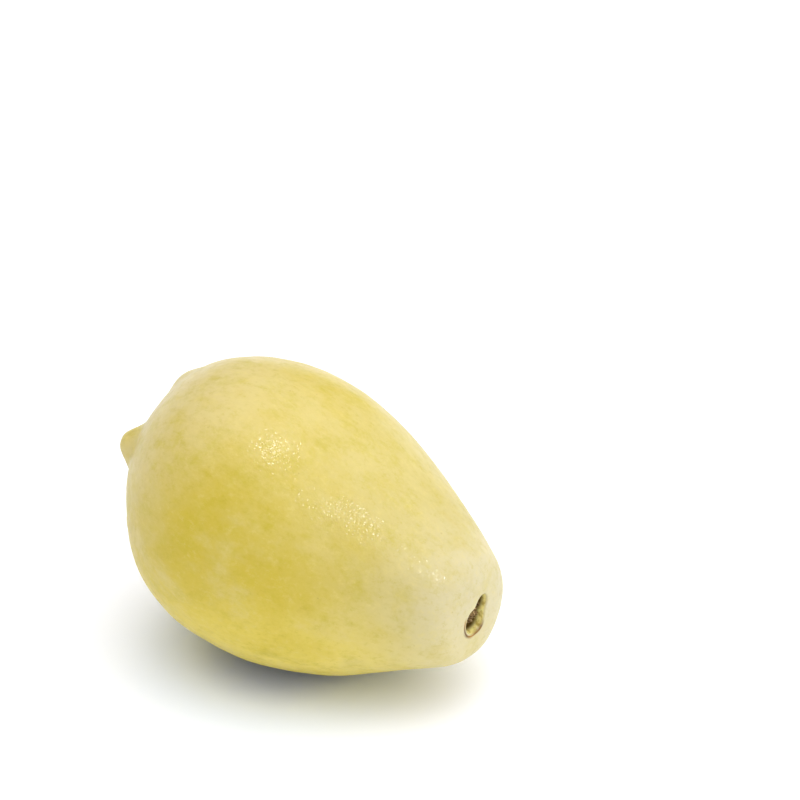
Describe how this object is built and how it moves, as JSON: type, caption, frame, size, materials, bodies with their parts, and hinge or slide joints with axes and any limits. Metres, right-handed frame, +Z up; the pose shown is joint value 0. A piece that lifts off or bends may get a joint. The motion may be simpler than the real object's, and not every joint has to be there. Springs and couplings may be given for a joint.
{
  "type": "guava",
  "caption": "Whole ripe pear-shaped guava lying on its side, with a pit and torn stalk at its narrow end and fleshy lobes round a dried calyx at its wide end.",
  "frame": {"origin": "on the surface that the fruit rests on, under the middle of its box", "axes": "+Z up; +X along the fruit, level, towards its narrow stem end"},
  "size_m": [0.0938, 0.0718, 0.0721],
  "materials": {
    "guava_skin": "thin waxy skin, pale yellow, cream towards the stem end, soft gloss",
    "torn_stalk": "torn, fibrous and dry",
    "dry_sepals": "papery, dried brown"
  },
  "bodies": {
    "root": {"guava_fruit": "guava_skin", "stalk_stub": "torn_stalk", "dried_calyx": "dry_sepals"}
  },
  "joints": []
}
